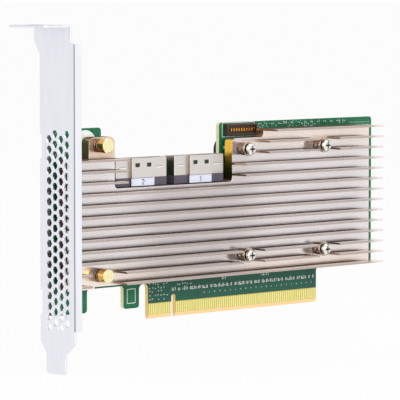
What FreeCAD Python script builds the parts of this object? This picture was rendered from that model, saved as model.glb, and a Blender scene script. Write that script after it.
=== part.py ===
import FreeCAD, Part
import math
import os
from types import SimpleNamespace

import Sketcher

# A switch adapter card for solid-state drives: a low-profile circuit board with a long edge finger,
# a full-height vented bracket, a finned heat sink and two cable connectors that open upwards.
# Origin: centre of the key notch, on the finger's bottom edge, at the board's mid-thickness.
# +X runs from the bracket to the far end, +Y away from the component side, +Z up. Millimetres.

SIZES = {
    # circuit board outline
    "board_thickness": 1.57,
    "board_top": 68.9,
    "board_reach": 101.6,
    "board_end_gap": 0.99,
    "board_corner": 1.2,
    "short_finger_reach": 12.15,
    "long_finger_reach": 72.15,
    "key_width": 1.9,
    "key_depth": 8.0,
    "finger_gap_width": 4.25,
    "finger_gap_top": 12.6,
    "hook_width": 7.35,
    "hook_bottom": 4.3,
    "arch_width": 16.85,
    "arch_top": 12.5,
    "leg_bottom": 4.2,
    "tail_bottom": 12.9,
    "notch_left": 34.0,
    "notch_right": 22.3,
    "notch_floor": 56.8,
    "bevel_height": 1.3,
    "bevel_depth": 0.45,
    # gold contacts on the finger
    "contact_pitch": 1.0,
    "contact_width": 0.7,
    "contact_from_key": 1.5,
    "contact_top": 5.2,
    "contact_thickness": 0.06,
    "contact_bevel_gap": 0.1,
    # bracket
    "bracket_reach": 59.05,
    "sheet": 0.86,
    "plate_near": 16.1,
    "plate_width": 18.42,
    "bracket_top": 104.9,
    "bracket_height": 120.02,
    "shoulder": 4.0,
    "tongue_drop": 4.2,
    "tongue_width": 10.19,
    "tongue_shift": 1.0,
    "tongue_corner": 1.6,
    "tab_length": 11.43,
    "tab_overhang": 3.17,
    "tab_ear_height": 5.0,
    "tab_ear_taper": 5.2,
    "tab_near_cut": 1.9,
    "tab_near_cut_height": 6.0,
    "tab_bend": 1.3,
    "screw_notch_width": 4.42,
    "screw_notch_depth": 6.0,
    "screw_notch_out": 6.0,
    "flange_depth": 3.35,
    "flange_bottom": 0.2,
    "flange_top": 98.5,
    "flange_corner": 1.0,
    "edge_relief_depth": 1.0,
    "edge_relief_length": 8.5,
    "upper_relief": 59.0,
    "lower_relief": 5.0,
    "vent_radius": 1.45,
    "vent_pitch": 3.6,
    "vent_column_step": 3.1,
    "vent_from_near_edge": 4.3,
    "vent_first": 1.0,
    "ear_reach": 12.6,
    "ear_height": 9.0,
    "ear_corner": 2.0,
    "ear_hole_inset": 4.2,
    "upper_ear": 52.0,
    "lower_ear": 22.0,
    # heat sink
    "sink_gap": 3.0,
    "sink_base": 3.9,
    "fin_height": 7.5,
    "fin_pitch": 3.93,
    "fin_thickness": 0.7,
    "first_fin_top": 15.3,
    "sink_end_gap": 2.0,
    "sink_right": 93.3,
    "sink_bottom": 14.0,
    "foot_bottom": 13.2,
    "foot_right": 43.0,
    "sink_middle_top": 47.8,
    "tower_right": 33.6,
    "lug_left": 45.4,
    "lug_top": 66.0,
    "lug_corner": 2.2,
    "block_left": 22.4,
    "block_corner": 1.8,
    "corner_cut_right": 38.0,
    "corner_cut_floor": 63.4,
    "inner_corner": 1.4,
    "flat_corner_right": 34.0,
    "flat_corner_floor": 56.5,
    "screw_pocket_reach": 5.2,
    "screw_pocket_half": 3.6,
    "pin_pocket_left": 50.0,
    "pin_pocket_right": 34.5,
    "pin_pocket_half": 3.8,
    # sprung screws round the switch chip
    "chip_x": 45.85,
    "chip_z": 40.35,
    "screw_spacing": 38.5,
    "screw_stand": 6.4,
    "screw_head_radius": 2.0,
    "screw_head_height": 1.3,
    "screw_head_edge": 0.45,
    "screw_neck_radius": 1.5,
    "screw_neck_height": 0.5,
    "screw_collar_radius": 2.65,
    "screw_collar_height": 0.55,
    "screw_radius": 1.25,
    "cross_length": 2.5,
    "cross_width": 0.62,
    "cross_depth": 0.9,
    "spring_wire": 0.5,
    "spring_play": 0.3,
    "spring_turns": 3.5,
    "nut_radius": 2.1,
    "thread_gap": 0.05,
    "hole_gap": 0.4,
    "plate_side": 46.4,
    "plate_corner": 4.5,
    "plate_height": 1.5,
    "plate_window": 25.0,
    "film_height": 0.25,
    # brass push pins at the bracket end
    "pin_x": 41.2,
    "upper_pin_z": 63.2,
    "lower_pin_z": 18.1,
    "pin_stand": 5.6,
    "pin_head_radius": 2.5,
    "pin_head_height": 3.0,
    "pin_head_edge": 0.25,
    "pin_radius": 1.4,
    "pin_barb_radius": 2.0,
    "pin_tip_radius": 0.9,
    "pin_tip_length": 1.9,
    "pin_slot_width": 0.5,
    "pin_slot_depth": 4.2,
    "pin_spring_turns": 1.75,
    "pad_radius": 5.0,
    "pad_thickness": 0.06,
    # cable connectors
    "connector_left": 31.8,
    "connector_width": 23.8,
    "connector_spacing": 27.5,
    "connector_bottom": 48.1,
    "housing_height": 2.9,
    "shell_height": 7.0,
    "shell_wall": 0.3,
    "wing_depth": 5.3,
    "centre_depth": 6.5,
    "centre_width": 10.7,
    "window_width": 2.1,
    "window_height": 1.4,
    "window_spacing": 5.4,
    "window_drop": 2.5,
    "slit_width": 3.0,
    "slit_height": 0.35,
    "slit_drop": 3.4,
    "housing_lip": 1.2,
    "housing_gap": 0.05,
    "housing_step": 0.4,
    "card_slot_width": 18.6,
    "card_slot_thickness": 1.3,
    "card_slot_depth": 3.0,
    "blade_pitch": 1.0,
    "blade_width": 0.35,
    "blade_thickness": 0.12,
    "label_height": 2.7,
    "label_thickness": 0.1,
    # switch chip
    "substrate_side": 31.0,
    "substrate_height": 1.5,
    "lid_side": 25.0,
    "lid_height": 1.0,
    # fasteners of the bracket
    "bracket_screw_radius": 1.25,
    "bracket_screw_head": 2.4,
    "bracket_screw_head_height": 1.0,
    "bracket_nut_radius": 2.5,
    "bracket_nut_height": 1.6,
    # service header behind the heat sink's corner
    "header_left": 24.5,
    "header_width": 15.0,
    "header_bottom": 64.1,
    "header_height": 4.2,
    "header_depth": 2.4,
    "header_wall": 0.7,
    "header_floor": 0.8,
    "header_pitch": 1.27,
    "header_pin": 0.5,
    # small soldered parts
    "small_length": 1.0,
    "small_width": 0.55,
    "small_height": 0.5,
    "capacitor_first": 8.0,
    "capacitor_pitch": 2.0,
    "capacitor_z": 9.8,
    "strip_first": 42.0,
    "strip_pitch": 3.4,
    "strip_z": 67.7,
    "coil_x": 66.0,
    "coil_z": 65.6,
    "coil_side": 4.0,
    "coil_height": 2.0,
    "tantalum_length": 7.3,
    "tantalum_width": 4.3,
    "tantalum_height": 1.9,
    "tantalum_x": -14.0,
    "tantalum_z": 44.0,
    "tantalum_pitch": 9.0,
    "grid_pitch": 2.4,
    "regulator_x": 84.0,
    "regulator_z": 46.0,
    "regulator_pitch": 12.0,
    "regulator_width": 5.0,
    "regulator_length": 6.0,
    "regulator_height": 0.9,
    "inductor_x": 74.5,
    "inductor_side": 6.6,
    "inductor_height": 2.6,
    "flash_x": -18.0,
    "flash_z": 32.0,
    "flash_width": 5.2,
    "flash_length": 6.2,
    "flash_height": 1.7,
    "clock_x": 4.0,
    "clock_z": 32.0,
    "clock_side": 5.0,
    "clock_height": 0.9,
}

# Counts of what repeats
VENT_ROWS = 19
FIN_COUNT = 14
TOWER_FINS = 12
BLADES_PER_ROW = 18
HEADER_PINS = 10
COUPLING_CAPACITORS = 32
STRIP_PARTS = 14
TANTALUMS = 4
GRID_SIDE = 5
REGULATORS = 2
COIL_STEPS = 20

# Height of a hexagon's corner above its middle, for a radius of 1
HEX_RISE = 0.8660254

ALONG_X = FreeCAD.Vector(1, 0, 0)
ALONG_Y = FreeCAD.Vector(0, 1, 0)
ALONG_Z = FreeCAD.Vector(0, 0, 1)

# Corner style of a sweep along straight steps
MITRED = 1


class Size:
    """A length that carries its number and the formula that ties it to the sheet."""

    def __init__(self, number, formula):
        self.number = number
        self.formula = formula

    def joined(self, sign, other, number):
        text = other.formula if isinstance(other, Size) else str(float(other))
        return Size(number, f"({self.formula} {sign} {text})")

    def __add__(self, other):
        return self.joined("+", other, self.number + float(other))

    def __sub__(self, other):
        return self.joined("-", other, self.number - float(other))

    def __mul__(self, other):
        return self.joined("*", other, self.number * float(other))

    def __truediv__(self, other):
        return self.joined("/", other, self.number / float(other))

    def __neg__(self):
        return Size(-self.number, f"(-1 * {self.formula})")

    def __float__(self):
        return float(self.number)


doc = FreeCAD.newDocument("switch_adapter")
sheet = doc.addObject("Spreadsheet::Sheet", "sizes")
for row, (name, number) in enumerate(SIZES.items(), start=1):
    sheet.set(f"A{row}", name)
    sheet.set(f"B{row}", str(number))
    sheet.setAlias(f"B{row}", name)
doc.recompute()
S = SimpleNamespace(**{name: Size(float(sheet.get(name)), f"sizes.{name}") for name in SIZES})

# Places that several pieces share
NONE = S.board_thickness * 0.0
BOARD_FACE = -S.board_thickness / 2
BOARD_BACK = S.board_thickness / 2
BRACKET_FACE = -S.bracket_reach
BOARD_LEFT = BRACKET_FACE + S.sheet + S.board_end_gap
PLATE_NEAR = -S.plate_near
PLATE_FAR = PLATE_NEAR + S.plate_width
BRACKET_BOTTOM = S.bracket_top - S.bracket_height
EAR_HOLE_X = BRACKET_FACE + S.ear_reach - S.ear_hole_inset
SHELL_BOTTOM = S.connector_bottom + S.housing_height
CONNECTOR_MOUTH = SHELL_BOTTOM + S.shell_height
SINK_LEFT = BOARD_LEFT + S.sink_end_gap
SINK_BACK = BOARD_FACE - S.sink_gap
SINK_FLOOR = SINK_BACK - S.sink_base
SINK_FRONT = SINK_FLOOR - S.fin_height
TOWER_TOP = S.first_fin_top + S.fin_pitch * (TOWER_FINS - 1)
BLOCK_TOP = S.first_fin_top + S.fin_pitch * (FIN_COUNT - 1)
SCREW_XS = (S.chip_x - S.screw_spacing / 2, S.chip_x + S.screw_spacing / 2)
SCREW_ZS = (S.chip_z - S.screw_spacing / 2, S.chip_z + S.screw_spacing / 2)
SCREW_PLACES = [(x, z) for x in SCREW_XS for z in SCREW_ZS]
PIN_PLACES = [(-S.pin_x, S.lower_pin_z), (-S.pin_x, S.upper_pin_z)]
EAR_PLACES = [(EAR_HOLE_X, S.lower_ear), (EAR_HOLE_X, S.upper_ear)]
SCREW_TOP = SINK_FLOOR - S.screw_stand
NECK_FRONT = SCREW_TOP + S.screw_head_height
COLLAR_FRONT = NECK_FRONT + S.screw_neck_height
COLLAR_BACK = COLLAR_FRONT + S.screw_collar_height
PLATE_BACK = BOARD_BACK + S.film_height + S.plate_height
PIN_TOP = SINK_FLOOR - S.pin_stand
PIN_HEAD_BACK = PIN_TOP + S.pin_head_height

finished = []


def bind(feature, prop, size):
    """Tie one property of a feature to the sheet."""
    feature.setExpression(prop, size.formula)


def keep(feature):
    """Mark an object of the document as a piece of the card."""
    finished.append(feature)
    return feature


def new_body(label):
    """An empty body with the piece's name."""
    body = doc.addObject("PartDesign::Body", label)
    body.Label = label
    return body


def new_sketch(body, role, offset=None):
    """A sketch on one of the body's own origin planes, moved along the plane's normal by an offset."""
    plane = next(item for item in body.Origin.OriginFeatures if item.Role == role)
    sketch = body.newObject("Sketcher::SketchObject", f"{body.Name}_sketch")
    sketch.AttachmentSupport = [(plane, "")]
    sketch.MapMode = "FlatFace"
    if offset is not None:
        bind(sketch, "AttachmentOffset.Base.z", offset)
    return sketch


def dimension(sketch, kind, geometry, point, size):
    """One driven distance from the sketch's origin to a point, or one radius."""
    if kind == "Radius":
        rule = Sketcher.Constraint(kind, geometry, float(size))
    else:
        rule = Sketcher.Constraint(kind, -1, 1, geometry, point, float(size))
    number = sketch.addConstraint(rule)
    bind(sketch, f"Constraints[{number}]", size)


def add_polygon(sketch, corners):
    """A closed outline through corners, each a pair of sizes measured from the sketch's origin."""
    first = sketch.GeometryCount
    points = [FreeCAD.Vector(float(u), float(v), 0) for u, v in corners]
    for here, there in zip(points, points[1:] + points[:1]):
        sketch.addGeometry(Part.LineSegment(here, there))
    for number in range(len(corners)):
        following = first + (number + 1) % len(corners)
        sketch.addConstraint(Sketcher.Constraint("Coincident", first + number, 2, following, 1))
    for number, (u, v) in enumerate(corners):
        dimension(sketch, "DistanceX", first + number, 1, u)
        dimension(sketch, "DistanceY", first + number, 1, v)


def add_rectangle(sketch, left, bottom, right, top):
    """A rectangle between two corners."""
    add_polygon(sketch, [(left, bottom), (right, bottom), (right, top), (left, top)])


def add_circle(sketch, u, v, radius):
    """A circle about a point."""
    centre = FreeCAD.Vector(float(u), float(v), 0)
    number = sketch.addGeometry(Part.Circle(centre, FreeCAD.Vector(0, 0, 1), float(radius)))
    dimension(sketch, "DistanceX", number, 3, u)
    dimension(sketch, "DistanceY", number, 3, v)
    dimension(sketch, "Radius", number, 3, radius)


def pad(body, sketch, length, side="One side", backwards=False):
    """Raise a sketch into a solid."""
    feature = body.newObject("PartDesign::Pad", f"{body.Name}_pad")
    feature.Profile = sketch
    feature.SideType = side
    feature.Reversed = backwards
    bind(feature, "Length", length)
    return feature


def pocket(body, sketch, length=None, backwards=False):
    """Sink a sketch into the solid by a length, or right through it both ways."""
    doc.recompute()
    before = body.Tip.Shape.Volume
    feature = body.newObject("PartDesign::Pocket", f"{body.Name}_pocket")
    feature.Profile = sketch
    feature.Reversed = backwards
    if length is None:
        feature.Type = "ThroughAll"
        feature.SideType = "Symmetric"
    else:
        bind(feature, "Length", length)
    doc.recompute()
    if feature.Shape.Volume >= before:
        raise RuntimeError(f"a pocket of {body.Label} cuts nothing")
    return feature


def revolve(label, corners):
    """A turned piece: a profile of radius and Y, spun about the Y axis."""
    body = new_body(label)
    sketch = new_sketch(body, "XY_Plane")
    add_polygon(sketch, corners)
    feature = body.newObject("PartDesign::Revolution", f"{label}_turned")
    feature.Profile = sketch
    feature.ReferenceAxis = (sketch, ["V_Axis"])
    feature.Angle = 360
    return body


def round_edges(body, radius, direction, places):
    """Fillet the straight edges that run along a direction through the given places.

    A place is a point with None for the coordinate along the edge.
    """
    doc.recompute()
    solid = body.Tip
    names = []
    for number, edge in enumerate(solid.Shape.Edges, start=1):
        ends = [vertex.Point for vertex in edge.Vertexes]
        along = len(ends) == 2 and (ends[1] - ends[0]).cross(direction).Length < 1e-6
        if along and any(meets(ends[0], place) for place in places):
            names.append(f"Edge{number}")
    if len(names) < len(places):
        raise RuntimeError(f"{body.Label} has no edge at one of {len(places)} places")
    feature = body.newObject("PartDesign::Fillet", f"{body.Name}_fillet")
    feature.Base = (solid, names)
    bind(feature, "Radius", radius)


def meets(point, place):
    """Whether a point has the place's coordinates, where the place gives them."""
    return all(want is None or abs(have - float(want)) < 1e-4 for have, want in zip(point, place))


def upright(places):
    """Places of edges that run through the card along Y."""
    return [(x, None, z) for x, z in places]


def add_cross(sketch):
    """The outline of a screwdriver's cross about the sketch's origin."""
    arm = S.cross_length / 2
    half = S.cross_width / 2
    add_polygon(sketch, [
        (arm, half), (half, half), (half, arm), (-half, arm), (-half, half), (-arm, half),
        (-arm, -half), (-half, -half), (-half, -arm), (half, -arm), (half, -half), (arm, -half),
    ])


def block(label, low, high):
    """A plain rectangular piece between two corners, bound to the sheet."""
    box = doc.addObject("Part::Box", label)
    box.Label = label
    for prop, start, end in zip(("Length", "Width", "Height"), low, high):
        bind(box, prop, end - start)
    for axis, start in zip("xyz", low):
        bind(box, f"Placement.Base.{axis}", start)
    return box


def copies(label, master, places):
    """One node of separate solids: the master's shape moved to each X and Z place."""
    doc.recompute()
    group = doc.addObject("Part::Feature", label)
    group.Label = label
    moved = [master.Shape.translated(FreeCAD.Vector(float(x), 0, float(z))) for x, z in places]
    group.Shape = Part.makeCompound(moved)
    return keep(group)


def spans(first, step, count):
    """Evenly spaced places from a first one."""
    return [first + step * number for number in range(count)]


def chips(label, places, half_x, half_z, height, face=-1):
    """Rectangular soldered parts about X and Z places, on the front face or, with face 1, the back."""
    near = BOARD_FACE if face < 0 else BOARD_BACK
    low_y = near - height if face < 0 else near
    master = block(f"{label}_one", (-half_x, low_y, -half_z), (half_x, low_y + height, half_z))
    return copies(label, master, places)


# Circuit board
def make_board():
    body = new_body("circuit_board")
    hook_right = -S.short_finger_reach - S.finger_gap_width
    hook_left = hook_right - S.hook_width
    arch_left = hook_left - S.arch_width
    outer = [
        (BOARD_LEFT, S.leg_bottom),
        (BOARD_LEFT, S.board_top),
        (-S.notch_left, S.board_top),
        (-S.notch_left, S.notch_floor),
        (S.notch_right, S.notch_floor),
        (S.notch_right, S.board_top),
        (S.board_reach, S.board_top),
        (S.board_reach, S.tail_bottom),
        (S.long_finger_reach, S.tail_bottom),
    ]
    finger = [
        (S.long_finger_reach, NONE),
        (-S.short_finger_reach, NONE),
    ]
    gap = [
        (-S.short_finger_reach, S.finger_gap_top),
        (hook_right, S.finger_gap_top),
    ]
    hook = [
        (hook_right, S.hook_bottom),
        (hook_left, S.hook_bottom),
        (hook_left, S.arch_top),
        (arch_left, S.arch_top),
        (arch_left, S.leg_bottom),
    ]
    outline = new_sketch(body, "XZ_Plane")
    add_polygon(outline, outer + finger + gap + hook)
    pad(body, outline, S.board_thickness, side="Symmetric")
    round_edges(body, S.board_corner, ALONG_Y, upright(outer + hook))
    round_edges(body, S.finger_gap_width * 0.45, ALONG_Y, upright(gap))

    key = new_sketch(body, "XZ_Plane")
    add_rectangle(key, -S.key_width / 2, -S.key_depth, S.key_width / 2, S.key_depth)
    pocket(body, key)
    key_top = [(-S.key_width / 2, S.key_depth), (S.key_width / 2, S.key_depth)]
    round_edges(body, S.key_width * 0.45, ALONG_Y, upright(key_top))

    holes = new_sketch(body, "XZ_Plane")
    for x, z in SCREW_PLACES:
        add_circle(holes, x, z, S.nut_radius)
    for x, z in PIN_PLACES:
        add_circle(holes, x, z, S.pin_radius + S.thread_gap)
    for x, z in EAR_PLACES:
        add_circle(holes, x, z, S.bracket_screw_radius + S.thread_gap)
    pocket(body, holes)

    # The finger's bottom edge slopes on both faces so that it slides into its slot.
    bevel = new_sketch(body, "YZ_Plane")
    for face in (BOARD_FACE, BOARD_BACK):
        inwards = S.bevel_depth if face.number < 0 else -S.bevel_depth
        add_polygon(bevel, [(face, S.bevel_height), (face, NONE), (face + inwards, NONE)])
    pocket(body, bevel)
    keep(body)


def make_contacts():
    """Two facing rows of gold pads, split by the key notch, as many as each finger's length takes."""
    short_count, long_count = [
        1 + int(float(reach - S.contact_from_key) / float(S.contact_pitch))
        for reach in (S.short_finger_reach, S.long_finger_reach)
    ]
    before_key = spans(-S.contact_from_key, -S.contact_pitch, short_count)
    after_key = spans(S.contact_from_key, S.contact_pitch, long_count)
    places = [(x, NONE) for x in before_key + after_key]
    bottom = S.bevel_height + S.contact_bevel_gap
    half = S.contact_width / 2
    rows = (("edge_contacts_front", BOARD_FACE - S.contact_thickness), ("edge_contacts_rear", BOARD_BACK))
    for label, low_y in rows:
        low = (-half, low_y, bottom)
        high = (half, low_y + S.contact_thickness, S.contact_top)
        copies(label, block(f"{label}_one", low, high), places)


# Bracket
def make_bracket():
    body = new_body("io_bracket")
    middle = (PLATE_NEAR + PLATE_FAR) / 2 + S.tongue_shift
    tongue_top = -S.shoulder - S.tongue_drop
    tab_far = PLATE_FAR + S.tab_overhang
    tab_near = PLATE_NEAR + S.tab_near_cut
    ear_foot = S.bracket_top - S.tab_ear_height
    tongue_end = [
        (middle + S.tongue_width / 2, BRACKET_BOTTOM),
        (middle - S.tongue_width / 2, BRACKET_BOTTOM),
    ]
    near_side = [
        (middle - S.tongue_width / 2, tongue_top),
        (PLATE_NEAR, -S.shoulder),
        (PLATE_NEAR, S.bracket_top - S.tab_near_cut_height),
        (tab_near, S.bracket_top - S.tab_near_cut_height),
        (tab_near, S.bracket_top),
    ]
    far_side = [
        (tab_far, S.bracket_top),
        (tab_far, ear_foot),
        (PLATE_FAR, ear_foot - S.tab_ear_taper),
    ]
    for relief in (S.upper_relief, S.lower_relief):
        inside = PLATE_FAR - S.edge_relief_depth
        upper = relief + S.edge_relief_length
        far_side += [(PLATE_FAR, upper), (inside, upper), (inside, relief), (PLATE_FAR, relief)]
    far_side += [(PLATE_FAR, -S.shoulder), (middle + S.tongue_width / 2, tongue_top)]
    plate = new_sketch(body, "YZ_Plane", BRACKET_FACE)
    add_polygon(plate, tongue_end + near_side + far_side)
    pad(body, plate, S.sheet)
    round_edges(body, S.tongue_corner, ALONG_X, [(None, y, z) for y, z in tongue_end])

    # The tab bends outwards at the top and has an open notch for the slot's screw.
    notch_middle = BRACKET_FACE - S.screw_notch_out
    notch_left = notch_middle - S.screw_notch_width / 2
    notch_right = notch_middle + S.screw_notch_width / 2
    notch_end = tab_far - S.screw_notch_depth
    tab_end = BRACKET_FACE - S.tab_length
    tab = new_sketch(body, "XY_Plane", S.bracket_top - S.sheet)
    tab_corners = [(tab_end, tab_near), (tab_end, tab_far)]
    notch_corners = [(notch_left, notch_end), (notch_right, notch_end)]
    add_polygon(tab, [
        (BRACKET_FACE + S.sheet, tab_near),
        *tab_corners,
        (notch_left, tab_far),
        *notch_corners,
        (notch_right, tab_far),
        (BRACKET_FACE + S.sheet, tab_far),
    ])
    pad(body, tab, S.sheet)
    round_edges(body, S.screw_notch_width * 0.45, ALONG_Z, [(x, y, None) for x, y in notch_corners])
    round_edges(body, S.tongue_corner, ALONG_Z, [(x, y, None) for x, y in tab_corners])
    round_edges(body, S.tab_bend, ALONG_Y, [(BRACKET_FACE + S.sheet, None, S.bracket_top)])

    # A narrow flange along the near edge stiffens the plate.
    flange_end = BRACKET_FACE + S.flange_depth
    flange = new_sketch(body, "XZ_Plane", -PLATE_NEAR)
    add_rectangle(flange, BRACKET_FACE, S.flange_bottom, flange_end, S.flange_top)
    pad(body, flange, S.sheet, backwards=True)
    round_edges(body, S.flange_corner, ALONG_Y, [(flange_end, None, S.flange_top)])

    # Two ears lie against the board's back and take its screws.
    ear_end = BRACKET_FACE + S.ear_reach
    ears = new_sketch(body, "XZ_Plane", BOARD_FACE)
    ear_corners = []
    for height in (S.lower_ear, S.upper_ear):
        bottom = height - S.ear_height / 2
        top = height + S.ear_height / 2
        add_rectangle(ears, BRACKET_FACE, bottom, ear_end, top)
        ear_corners += [(ear_end, bottom), (ear_end, top)]
    pad(body, ears, S.sheet, backwards=True)
    round_edges(body, S.ear_corner, ALONG_Y, upright(ear_corners))
    ear_holes = new_sketch(body, "XZ_Plane", BOARD_FACE)
    for x, z in EAR_PLACES:
        add_circle(ear_holes, x, z, S.bracket_screw_radius + S.hole_gap)
    pocket(body, ear_holes, S.sheet)

    # Staggered columns of hexagonal vents
    vents = new_sketch(body, "YZ_Plane", BRACKET_FACE)
    rise = S.vent_radius * HEX_RISE
    for column in range(4):
        y = PLATE_NEAR + S.vent_from_near_edge + S.vent_column_step * column
        z = S.vent_first + S.vent_pitch * (0.5 if column % 2 == 0 else 0)
        reach = S.vent_radius
        add_polygon(vents, [
            (y + reach, z),
            (y + reach / 2, z + rise),
            (y - reach / 2, z + rise),
            (y - reach, z),
            (y - reach / 2, z - rise),
            (y + reach / 2, z - rise),
        ])
    row_of_vents = pocket(body, vents, S.sheet, backwards=True)
    repeat_up(body, row_of_vents, vents, S.vent_pitch * (VENT_ROWS - 1), VENT_ROWS)
    keep(body)


def repeat_up(body, feature, sketch, length, count):
    """Repeat a cut upwards along its sketch's vertical axis."""
    pattern = body.newObject("PartDesign::LinearPattern", f"{body.Name}_rows")
    pattern.Originals = [feature]
    pattern.Direction = (sketch, ["V_Axis"])
    bind(pattern, "Length", length)
    pattern.Occurrences = count
    body.Tip = pattern


# Heat sink
def make_heat_sink():
    body = new_body("heat_sink")
    lug = [(-S.lug_left, S.lug_top), (-S.tower_right, S.lug_top)]
    inner = [
        (-S.tower_right, S.sink_middle_top),
        (S.block_left, S.sink_middle_top),
    ]
    block_corner = [(S.block_left, S.corner_cut_floor)]
    cut_corner = [(S.corner_cut_right, S.corner_cut_floor)]
    profile = new_sketch(body, "XZ_Plane", -SINK_BACK)
    add_polygon(profile, [
        (-S.foot_right, S.sink_bottom),
        (-S.foot_right, S.foot_bottom),
        (SINK_LEFT, S.foot_bottom),
        (SINK_LEFT, TOWER_TOP),
        (-S.lug_left, TOWER_TOP),
        *lug,
        *inner,
        *block_corner,
        *cut_corner,
        (S.corner_cut_right, BLOCK_TOP),
        (S.sink_right, BLOCK_TOP),
        (S.sink_right, S.sink_bottom),
    ])
    pad(body, profile, S.sink_base + S.fin_height)
    round_edges(body, S.lug_corner, ALONG_Y, upright(lug))
    round_edges(body, S.inner_corner, ALONG_Y, upright(inner + cut_corner))
    round_edges(body, S.block_corner, ALONG_Y, upright(block_corner))

    # Long thin fins are what is left between the gaps of an extruded comb.
    past = S.fin_pitch
    gap = new_sketch(body, "XZ_Plane", -SINK_FRONT)
    gap_top = S.first_fin_top + S.fin_pitch - S.fin_thickness
    add_rectangle(gap, SINK_LEFT - past, S.first_fin_top, S.sink_right + past, gap_top)
    one_gap = pocket(body, gap, S.fin_height)
    repeat_up(body, one_gap, gap, S.fin_pitch * (FIN_COUNT - 2), FIN_COUNT - 1)

    # Fins are milled away below the first one, on the lug, on the flat corner and round the fasteners.
    clear = new_sketch(body, "XZ_Plane", -SINK_FRONT)
    below = S.first_fin_top - S.fin_thickness
    add_rectangle(clear, SINK_LEFT - past, S.sink_bottom - past, S.sink_right + past, below)
    add_rectangle(clear, -S.lug_left - past, TOWER_TOP, -S.tower_right + past, S.lug_top + past)
    corner_top = S.corner_cut_floor + past / 4
    add_rectangle(clear, S.block_left - past, S.flat_corner_floor, S.flat_corner_right, corner_top)
    pocket(body, clear, S.fin_height)
    room = new_sketch(body, "XZ_Plane", -SINK_FRONT)
    pin_bottom = S.lower_pin_z - S.pin_pocket_half
    pin_top = S.lower_pin_z + S.pin_pocket_half
    add_rectangle(room, -S.pin_pocket_left, pin_bottom, -S.pin_pocket_right, pin_top)
    for x, z in SCREW_PLACES:
        if (x, z) != (SCREW_XS[0], SCREW_ZS[1]):
            left = x - S.screw_pocket_reach
            right = x + S.screw_pocket_reach
            bottom = z - S.screw_pocket_half
            top = z + S.screw_pocket_half
            add_rectangle(room, left, bottom, right, top)
    pocket(body, room, S.fin_height)

    holes = new_sketch(body, "XZ_Plane", -SINK_FRONT)
    for x, z in SCREW_PLACES:
        add_circle(holes, x, z, S.screw_radius + S.hole_gap)
    for x, z in PIN_PLACES:
        add_circle(holes, x, z, S.pin_radius + S.hole_gap / 2)
    pocket(body, holes)
    keep(body)


# Back plate behind the switch chip, on an insulating film
def make_back_plate():
    half = S.plate_side / 2
    window = S.plate_window / 2
    corners = [(S.chip_x + half * u, S.chip_z + half * v) for u in (-1, 1) for v in (-1, 1)]
    layers = (
        ("back_plate_film", BOARD_BACK, S.film_height),
        ("back_plate", BOARD_BACK + S.film_height, S.plate_height),
    )
    for label, start, height in layers:
        body = new_body(label)
        outline = new_sketch(body, "XZ_Plane", -start)
        add_rectangle(outline, S.chip_x - half, S.chip_z - half, S.chip_x + half, S.chip_z + half)
        left = S.chip_x - window
        right = S.chip_x + window
        add_rectangle(outline, left, S.chip_z - window, right, S.chip_z + window)
        pad(body, outline, height, backwards=True)
        round_edges(body, S.plate_corner, ALONG_Y, upright(corners))
        holes = new_sketch(body, "XZ_Plane", -start)
        for x, z in SCREW_PLACES:
            add_circle(holes, x, z, S.nut_radius)
        pocket(body, holes, height)
        keep(body)


# Sprung screws, their nuts and springs
def make_screws():
    master = revolve("spring_screw", [
        (NONE, SCREW_TOP),
        (S.screw_head_radius - S.screw_head_edge, SCREW_TOP),
        (S.screw_head_radius, SCREW_TOP + S.screw_head_edge),
        (S.screw_head_radius, NECK_FRONT),
        (S.screw_neck_radius, NECK_FRONT),
        (S.screw_neck_radius, COLLAR_FRONT),
        (S.screw_collar_radius, COLLAR_FRONT),
        (S.screw_collar_radius, COLLAR_BACK),
        (S.screw_radius, COLLAR_BACK),
        (S.screw_radius, PLATE_BACK),
        (NONE, PLATE_BACK),
    ])
    cross = new_sketch(master, "XZ_Plane", -SCREW_TOP)
    add_cross(cross)
    pocket(master, cross, S.cross_depth)
    copies("spring_screws", master, SCREW_PLACES)

    bore = S.screw_radius + S.thread_gap
    nut = revolve("press_nut", [
        (bore, BOARD_FACE),
        (S.nut_radius, BOARD_FACE),
        (S.nut_radius, PLATE_BACK),
        (bore, PLATE_BACK),
    ])
    copies("press_nuts", nut, SCREW_PLACES)
    make_springs("screw_springs", S.screw_radius, COLLAR_BACK, S.spring_turns, SCREW_PLACES)


def make_springs(label, core, top, turns, places):
    """Compression springs: a round wire wound about Y in short mitred steps, from the sink to a head."""
    wire = float(S.spring_wire)
    mean = float(core) + float(S.spring_play) + wire
    start = float(top) + wire / 2
    rise = float(SINK_FLOOR) - float(top) - wire
    steps = round(float(turns) * COIL_STEPS)
    points = []
    for step in range(steps + 1):
        turn = 2 * math.pi * step / COIL_STEPS
        y = start + rise * step / steps
        points.append(FreeCAD.Vector(mean * math.cos(turn), y, mean * math.sin(turn)))
    section = Part.Wire(Part.makeCircle(wire / 2, points[0], points[1] - points[0]))
    master = doc.addObject("Part::Feature", f"{label}_one")
    master.Shape = Part.makePolygon(points).makePipeShell([section], True, False, MITRED)
    copies(label, master, places)


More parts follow.
